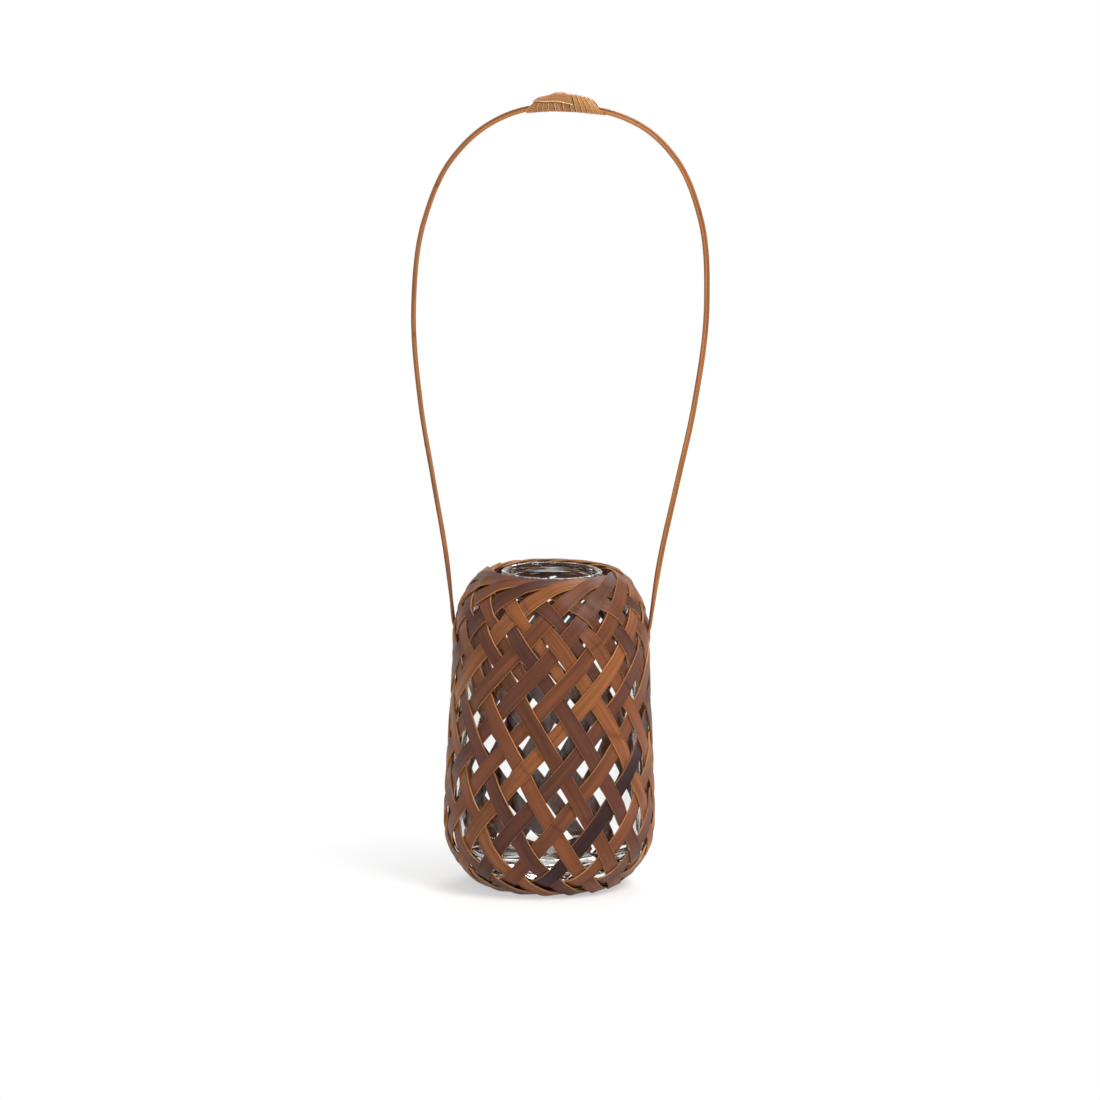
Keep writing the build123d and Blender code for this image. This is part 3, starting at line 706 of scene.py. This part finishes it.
@dataclass
class GlassJar:
    """Thick-walled jar with a heavy rippled base and a short narrow neck."""

    floor_z: float = 1.81
    inset: float = 2.85
    shoulder_centre: float = 17.1
    wall: float = 2.4
    floor: float = 9.0
    neck_radius: float = 19.3
    neck_rise: float = 1.6
    corner: float = 9.0
    segments: int = 128
    ripple: float = 1.2
    ripple_radius: float = 34.6
    ripple_from: float = 4.0
    ripple_to_z: float = 34.0
    ripple_fade: float = 12.0

    def profile(self) -> list[Pair]:
        """Returns the section's points from the axis below, round the rim, to the axis inside."""
        weave, lip = BodyOutline, self.wall / 2
        rounding = weave.full_rounding - self.inset
        side, rise_z = weave.flat_radius + rounding, self.floor_z + rounding
        centre = (self.shoulder_centre, weave.shoulder_z)
        depth, rise = weave.shoulder_depth - self.inset, weave.shoulder_rise - self.inset
        last = math.acos((self.neck_radius - self.shoulder_centre) / depth)
        points = [(0.0, self.floor_z + 0.5), (9.0, self.floor_z + 0.35), (14.0, self.floor_z)]
        points += arc((weave.flat_radius, rise_z), (rounding, rounding), -QUARTER, 0.0, 14)
        points += flank((side, rise_z), (weave.shoulder_radius - self.inset, weave.shoulder_z), 20)
        points += arc(centre, (depth, rise), 0.0, last, 14)[1:]
        top = points[-1][1] + self.neck_rise
        points += arc((self.neck_radius - lip, top - lip), (lip, lip), 0.0, math.pi, 10)
        points.append((self.neck_radius - self.wall, weave.shoulder_z + rise - self.wall + 0.3))
        points += arc(centre, (depth - self.wall, rise - self.wall), QUARTER, 0.0, 14)[1:]
        corner, inner_side, bottom = self.corner, side - self.wall, self.floor_z + self.floor
        points += flank(points[-1], (inner_side, max(rise_z, bottom + corner)), 20)
        points += arc((inner_side - corner, bottom + corner), (corner, corner), 0.0, -QUARTER, 8)
        points += [(18.0, bottom - 0.2), (9.0, bottom - 0.5), (0.0, bottom - 0.6)]
        return points

    def build(self, aside: float) -> None:
        """Spins the profile, ripples the base and dresses the jar."""
        bm = bmesh.new()
        verts = [bm.verts.new(Vector((r, 0, z)) * MM) for r, z in self.profile()]
        edges = [bm.edges.new(pair) for pair in zip(verts, verts[1:])]
        bmesh.ops.spin(bm, geom=verts + edges, cent=(0, 0, 0), axis=(0, 0, 1), angle=2 * math.pi,
                       steps=self.segments, use_merge=True)
        bmesh.ops.remove_doubles(bm, verts=bm.verts[:], dist=0.01 * MM)
        for vert in bm.verts:
            self.rippled(vert)
            vert.co.x -= aside * MM
        bmesh.ops.recalc_face_normals(bm, faces=bm.faces[:])
        mesh = finished_mesh(bm, "glass_jar_clear", 60.0)
        place_piece(mesh, GlassFinish().material(), "glass_jar")

    def rippled(self, vert: bmesh.types.BMVert) -> None:
        """Ripples the glass round the inside of the heavy base."""
        x, y, z = vert.co / MM
        radius = math.hypot(x, y)
        if radius >= self.ripple_radius or not self.floor_z + self.ripple_from < z < self.ripple_to_z:
            return
        fade = eased((self.ripple_to_z - z) / self.ripple_fade)
        wave = noise.noise(Vector((x * 0.09, y * 0.09, z * 0.28)))
        fine = noise.noise(Vector((x * 0.16, y * 0.16, z * 1.2 + 9)))
        amount = self.ripple * fade * (wave + 0.5 * fine)
        if radius > 1:
            vert.co.x += x / radius * amount * MM * min(1.0, radius / 20)
            vert.co.y += y / radius * amount * MM * min(1.0, radius / 20)
        vert.co.z += amount * MM


@dataclass
class Handle:
    """Two thin rods that come out of the weave and meet in a tall arch."""

    body: WovenBody
    radius: float = 0.65
    pair_gap: float = 0.1
    foot_z: float = 24.5
    out_layers: float = 1.45
    out_rise: float = 6.0
    pair_turn_deg: float = 33.0
    left_bulge: float = 53.5
    right_bulge: float = 57.1
    top_z: float = 295.85
    top_x: float = 3.4
    left_shares: Knots = (
        (0.751, 0.4193), (0.849, 0.5184), (0.948, 0.6212), (1, 0.7406), (0.929, 0.8522), (0.744, 0.9297),
        (0.503, 0.9736), (0.23, 0.9963))
    right_shares: Knots = (
        (0.711, 0.4193), (0.82, 0.5228), (0.925, 0.6222), (1, 0.7575), (0.9475, 0.8657), (0.788, 0.9368),
        (0.592, 0.9742), (0.336, 0.9953))
    sides: int = 12
    bend_ease: float = 0.12
    joint_start: float = 61.0
    joint_spacing: float = 83.0
    joint_shift: float = 19.0
    joint_swell: float = 0.09
    joint_reach: float = 1.6
    thickness_change: float = 0.03
    grain_shift: float = 0.9

    @property
    def aside(self) -> float:
        """How far the body's axis stands from the row's, in millimetres."""
        return (self.right_bulge - self.left_bulge) / 2 * math.cos(self.body.handle_turn)

    def line(self) -> list[Vector]:
        """Returns the points of the pair's centre line, in the handle's plane."""
        weave = self.body
        inward = weave.layer / 2 + weave.thickness / 2 + 0.1 + self.radius
        low, high = weave.exit_height - self.out_rise / 2, weave.exit_height + self.out_rise / 2
        foot = weave.outline.at(weave.outline.length_at(height=self.foot_z))[0] - inward
        bend = weave.outline.at(weave.outline.length_at(height=low))[0] - inward
        legs = [(foot, self.foot_z), (bend, low), (bend + 2 * self.out_layers * weave.layer, high)]
        left = legs + [(self.left_bulge * x, self.top_z * z) for x, z in self.left_shares]
        right = legs + [(self.right_bulge * x, self.top_z * z) for x, z in self.right_shares]
        line = [(-x, z) for x, z in left] + [(self.top_x, self.top_z)] + right[::-1]
        return [Vector((x, 0, z)) for x, z in line]

    def ways(self, line: list[Vector]) -> list[Vector]:
        """Returns the line's direction at each of its points."""
        moves = [after - before for before, after in zip(line, line[1:])]
        up = Vector((0, 0, 1))
        arch = [(before.normalized() * after.length + after.normalized() * before.length).normalized()
                for before, after in zip(moves[2:-3], moves[3:-2])]
        return [up, up, moves[2].normalized(), *arch, moves[-3].normalized(), -up, -up]

    def course(self, side: int, stride: float = 1.6) -> list[Vector]:
        """Follows one rod of the pair.

        Args:
            side: 1 for the front rod and -1 for the back one.
            stride: Distance between points, in millimetres.

        Returns:
            Points along the rod's middle, in the handle's plane.
        """
        line = self.line()
        ways = self.ways(line)
        last = len(line) - 1
        apart = self.radius + self.pair_gap / 2
        anchors = []
        for i, (point, way) in enumerate(zip(line, ways)):
            turn = 0.0 if i < 3 or i > last - 3 else math.radians(self.pair_turn_deg)
            outward = Vector((-way.z, 0, way.x))
            anchors.append(point + (Vector((0, -1, 0)) * math.cos(turn) - outward * math.sin(turn)) * apart * side)
        points = [anchors[0]]
        for (p0, w0), (p1, w1) in zip(zip(anchors, ways), zip(anchors[1:], ways[1:])):
            size = (p1 - p0).length
            count = max(2, math.ceil(size / stride))
            bulge = 1 + self.bend_ease * (1 - w0.dot(w1))
            for t in spread(0.0, 1.0, count)[1:]:
                h1, h2 = 2 * t ** 3 - 3 * t ** 2 + 1, t ** 3 - 2 * t ** 2 + t
                h3, h4 = -2 * t ** 3 + 3 * t ** 2, t ** 3 - t ** 2
                points.append(p0 * h1 + w0 * (h2 * size * bulge) + p1 * h3 + w1 * (h4 * size * bulge))
        return points

    def turned(self, point: Vector) -> Vector:
        """Turns a point of the handle's plane into the row's frame, in metres."""
        turn = self.body.handle_turn
        x = point.x * math.cos(turn) - point.y * math.sin(turn) - self.aside
        return Vector((x, point.x * math.sin(turn) + point.y * math.cos(turn), point.z)) * MM

    def rod_mesh(self, side: int, name: str) -> Mesh:
        """Builds one rod, with the slight swellings of its bamboo joints."""
        points = self.course(side)
        rings, lengths, gone = [], [], 0.0
        shift = self.joint_shift if side > 0 else 0.0
        joints = [self.joint_start + self.joint_spacing * i + shift for i in range(8)]
        angles = spread(0.0, 2 * math.pi, self.sides)[:-1]
        for i, point in enumerate(points):
            ahead = (points[min(i + 1, len(points) - 1)] - points[max(i - 1, 0)]).normalized()
            back = Vector((0, 1, 0))
            out = (back - ahead * back.dot(ahead)).normalized()
            other = ahead.cross(out)
            gone += (point - points[i - 1]).length if i else 0.0
            swell = 1 + self.joint_swell * max(0.0, 1 - min(abs(gone - joint) for joint in joints) / self.joint_reach)
            change = self.thickness_change * noise.noise(Vector((gone * 0.03, side * 4.0, 0.0)))
            thick = self.radius * swell * (1 + change)
            rings.append([self.turned(point + (out * math.cos(a) + other * math.sin(a)) * thick) for a in angles])
            lengths.append(self.grain_shift * side + gone * MM)
        return Sweep(rings, lengths, spread(0.0, 1.0, self.sides)).mesh(name, 50.0)

    def build(self, group: Tree) -> None:
        """Builds and dresses both rods."""
        material = ROD_FINISH.material(group)
        for side, node in ((1, "handle_rod_front"), (-1, "handle_rod_back")):
            place_piece(self.rod_mesh(side, f"{node}_bamboo"), material, node)


@dataclass
class Grip:
    """Padding on top of the rods, wound with split cane, with a broad piece on top; the padding's near-black finish
    is painted shade in the gaps between the turns.
    """

    handle: Handle
    under_edges: tuple[float, ...] = (-13.6, -11.5, -9.52, -7.28, -5.17, -2.93, -0.4, 2.9, 5.51, 7.35, 9.73, 11.7,
                                      13.8, 15.9, 18.3)
    top_line: Knots = (
        (-11.5, 296.3), (-9.2, 297.35), (-7.15, 298.8), (-3.4, 299.75), (-0.3, 300.9), (4.7, 301.2), (7.2, 300.95),
        (11.6, 299.97), (14.15, 298.62), (17.3, 296.7), (18.3, 296.2))
    bottom_line: Knots = ((-11.5, 293.3), (-3.4, 294.1), (2.0, 294.2), (7.2, 294.05), (18.3, 293.15))
    depth_line: Knots = ((-11.5, 2.3), (-7.0, 3.1), (-0.3, 3.5), (6.0, 3.5), (13.0, 3.0), (18.3, 2.3))
    cane_width: float = 2.2
    thickness: float = 0.42
    shave: float = 0.1
    snug_line: Knots = ((7.25, 0.89), (7.45, 0.62), (7.75, 0.68), (7.95, 0.89))
    sag: float = 0.04
    width_change: float = 0.03
    under_padding: float = 0.05
    plain_side: float = 0.9
    saddle_rim: float = 0.055
    middle_x: float = 2.7
    left_lean: float = 0.2
    right_lean: float = 0.27
    lean_power: float = 2.3
    per_turn: int = 48
    first_place: float = 0.5
    last_place: float = 13.02
    padding_ends: Pair = (-10.9, 15.4)
    saddle_gap: float = 0.28
    saddle_thickness: float = 0.42
    saddle_thin_edge: float = 0.7
    saddle_length: float = 15.0
    saddle_tip_x: float = -9.2
    saddle_end: Knots = ((-45.0, 1.2), (0.0, 2.8), (94.0, 6.3))
    saddle_front: Knots = ((0.0, 14.0), (0.12, 44.0), (0.3, 62.0), (0.5, 71.0), (1.0, 94.0))
    saddle_back: Knots = ((0.0, -8.0), (0.15, -30.0), (0.4, -42.0), (1.0, -45.0))

    def skin(self, x: float, turn: float, grow: float) -> Vector:
        """Returns a point on the winding's outside, grown; a turn of 0 is the top, and a quarter is the front."""
        top, bottom = between(self.top_line, x), between(self.bottom_line, x)
        tall, deep = (top - bottom) / 2 + grow, between(self.depth_line, x) + grow
        return Vector((x, -deep * math.sin(turn), (top + bottom) / 2 + tall * math.cos(turn)))

    def leant(self, x: float, turn: float) -> float:
        """Moves a place under the grip to its place at a turn, as the turns close up towards the top."""
        share = ((1 + math.cos(turn)) / 2) ** self.lean_power
        lean = self.left_lean if x < self.middle_x else self.right_lean
        return x + lean * share * (self.middle_x - x)

    def padding_mesh(self) -> Mesh:
        """Builds the padding, whose near-black finish is painted shade in the gaps between the turns."""
        sides, slices = 32, 24
        places, turns = spread(*self.padding_ends, slices), spread(0.0, -2 * math.pi, sides)[:-1]
        sunk = -self.thickness - self.under_padding
        rings = [[self.handle.turned(self.skin(self.leant(x, turn), turn, sunk)) for turn in turns] for x in places]
        sweep = Sweep(rings, [(x - places[0]) * MM for x in places], spread(0.0, 1.0, sides))
        return sweep.mesh("grip_padding_dark", 60.0)

    def cane_mesh(self) -> Mesh:
        """Builds the winding, one unbroken flat length of cane whose turns touch."""
        total = round((self.last_place - self.first_place) * self.per_turn)
        edges = [(float(i), edge) for i, edge in enumerate(self.under_edges)]
        shave = self.shave
        rings, middles = [], []
        for i in range(total + 1):
            place = self.first_place + i / self.per_turn
            turn = 2 * math.pi * place + math.pi
            low, high = between(edges, place), between(edges, place + 1)
            middle, half = (low + high) / 2, (high - low) / 2 * between(self.snug_line, place)
            half *= 1 + self.width_change * noise.noise(Vector((place * 3.1, 2.0, 5.0)))
            left, right = (self.leant(middle + half * side, turn) for side in (-1, 1))
            dip = -self.sag * (1 + noise.noise(Vector((place * 1.7, 8.0, 1.0))))
            corners = ((left, -self.thickness), (right, -self.thickness), (right, dip - shave),
                       (right - shave, dip), (left + shave, dip), (left, dip - shave))
            ring = [self.skin(x, turn, grow) for x, grow in corners]
            middles.append((ring[3] + ring[4]) / 2)
            rings.append([self.handle.turned(point) for point in ring])
        share, far = shave / self.cane_width, self.plain_side
        sweep = Sweep(rings, along(middles), [0.0, far, far, far - share, share, 0.0, 0.0])
        return sweep.mesh("grip_winding_cane", 32.0)

    def saddle_mesh(self) -> Mesh:
        """Builds the broad piece of cane that lies along the top of the winding, cut off aslant."""
        rows, cuts = 30, 14
        rings, lengths = [], []
        low, thick = self.saddle_gap, self.saddle_thickness
        for i, share in enumerate(spread(0.0, 1.0, rows)):
            front, back = (math.radians(between(line, share)) for line in (self.saddle_front, self.saddle_back))
            under, over = [], []
            for j, turn in enumerate(spread(front, back, cuts)):
                end = between(self.saddle_end, math.degrees(turn))
                x = self.saddle_tip_x + (end - self.saddle_tip_x) * share
                thin = self.saddle_thin_edge if j in (0, cuts) or i in (0, rows) else 1.0
                under.append(self.skin(x, turn, low))
                over.append(self.skin(x, turn, low + thick * thin))
            rings.append([self.handle.turned(point) for point in under + over[::-1]])
            lengths.append(self.saddle_length * share * MM)
        rim = self.saddle_rim
        across = spread(rim, 1 - rim, cuts)
        return Sweep(rings, lengths, across + across[::-1] + [rim]).mesh("grip_saddle_cane", 40.0)

    def build(self, group: Tree) -> None:
        """Builds and dresses the grip."""
        cane = CANE_FINISH.material(group)
        # The padding's near-black finish is painted shade between the turns.
        place_piece(self.padding_mesh(), PADDING_SHADE_FINISH.material(group), "grip_core")
        place_piece(self.cane_mesh(), cane, "grip_winding")
        place_piece(self.saddle_mesh(), cane, "grip_saddle")


@dataclass
class Studio:
    """Pale floor, soft lamps, and the camera at the photograph's angle."""

    elevation_deg: float = 9.7
    distance: float = 3.0
    view_width: float = 0.4147
    sensor_width: float = 36.0
    roll: float = 0.0113
    target: Triple = (-0.00266, 0.0, 0.1281)
    lamp_target: Triple = (0.0, 0.0, 0.1)
    floor_size: float = 12.0
    white_share: float = 0.5
    shadow_start: float = 0.03
    shadow_reach: float = 0.14
    world_color: Color = (1.0, 0.99, 0.975)
    world_strength: float = 0.5

    def white_mix(self, wire: Wiring) -> Socket:
        """Returns 1 for rays from the camera, a reflection or the glass, and 0 for lighting rays."""
        path = wire.node("ShaderNodeLightPath").outputs
        seen = wire.math("MAXIMUM", path["Is Camera Ray"], path["Is Glossy Ray"])
        return wire.math("MAXIMUM", seen, path["Is Transmission Ray"])

    def floor(self) -> None:
        """Lays the floor, which is white where it is seen and keeps the vase's shadow."""
        bm = bmesh.new()
        bmesh.ops.create_grid(bm, x_segments=1, y_segments=1, size=self.floor_size / 2)
        mesh = finished_mesh(bm, "studio_floor", 30.0)
        made, wire, shader = new_material("studio_floor")
        wire.feed(shader, {"Base Color": (0.95, 0.95, 0.95), "Roughness": 0.9, "Specular IOR Level": 0.1})
        glow = wire.node("ShaderNodeEmission", {"Color": (1.0, 1.0, 1.0)})
        distance = wire.node("ShaderNodeVectorMath", {0: wire.node("ShaderNodeTexCoord").outputs["Object"]},
                             operation="LENGTH")
        far = wire.ramp(distance.outputs["Value"], self.shadow_start, self.shadow_reach)
        white = wire.total(self.white_share, (far, 1 - self.white_share))
        wire.surface(wire.math("MULTIPLY", self.white_mix(wire), white), shader, glow)
        mesh.materials.append(made)
        linked("studio_floor", mesh)

    def world(self) -> None:
        """Makes the backdrop white where it is seen, and a soft even light elsewhere."""
        world = bpy.data.worlds.new("studio_world")
        bpy.context.scene.world = world
        world.use_nodes = True
        wire = Wiring(world.node_tree)
        plain = world.node_tree.nodes["Background"]
        wire.feed(plain, {"Color": self.world_color, "Strength": self.world_strength})
        wire.surface(self.white_mix(wire), plain, wire.node("ShaderNodeBackground", {"Color": (1.0, 1.0, 1.0)}))

    def lamp(self, name: str, place: Triple, size: float, watts: float, color: Color) -> None:
        """Hangs one soft lamp that looks at the vase.

        Args:
            name: The lamp's name.
            place: Where it hangs, in metres.
            size: Its width, in metres.
            watts: Its power.
            color: Its tint.
        """
        data = bpy.data.lights.new(name, "AREA")
        data.shape = "DISK"
        data.size = size
        data.energy = watts
        data.color = color
        lamp = linked(name, data)
        lamp.location = place
        lamp.rotation_euler = (Vector(self.lamp_target) - Vector(place)).to_track_quat("-Z", "Y").to_euler()

    def camera(self) -> None:
        """Sets the camera to the photograph's view."""
        data = bpy.data.cameras.new("studio_camera")
        data.sensor_width = self.sensor_width
        data.lens = self.sensor_width * self.distance / self.view_width
        data.clip_end = 10 * self.distance
        camera = linked("studio_camera", data)
        tilt = math.radians(self.elevation_deg)
        camera.location = Vector(self.target) + Vector((0, -math.cos(tilt), math.sin(tilt))) * self.distance
        turned = Matrix.Rotation(QUARTER - tilt, 3, "X") @ Matrix.Rotation(self.roll, 3, "Z")
        camera.rotation_euler = turned.to_euler()
        bpy.context.scene.camera = camera

    def build(self) -> None:
        """Sets up the whole studio."""
        bpy.context.scene.view_settings.view_transform = "Standard"
        self.camera()
        self.floor()
        self.world()
        self.lamp("lamp_top_right", (0.9, -0.8, 1.5), 0.9, 30.0, (1.0, 0.975, 0.94))
        self.lamp("lamp_left", (-1.3, -0.9, 0.7), 1.0, 3.5, (0.94, 0.96, 1.0))
        self.lamp("lamp_back", (0.2, 1.3, 1.3), 0.9, 14.0, (1.0, 1.0, 1.0))


def main() -> None:
    """Builds the vase piece by piece, then the studio."""
    group = SplitBamboo().tree()
    body = WovenBody()
    handle = Handle(body)
    body.build(group, handle.aside)
    GlassJar().build(handle.aside)
    handle.build(group)
    Grip(handle).build(group)
    Studio().build()


if __name__ == "__main__":
    main()
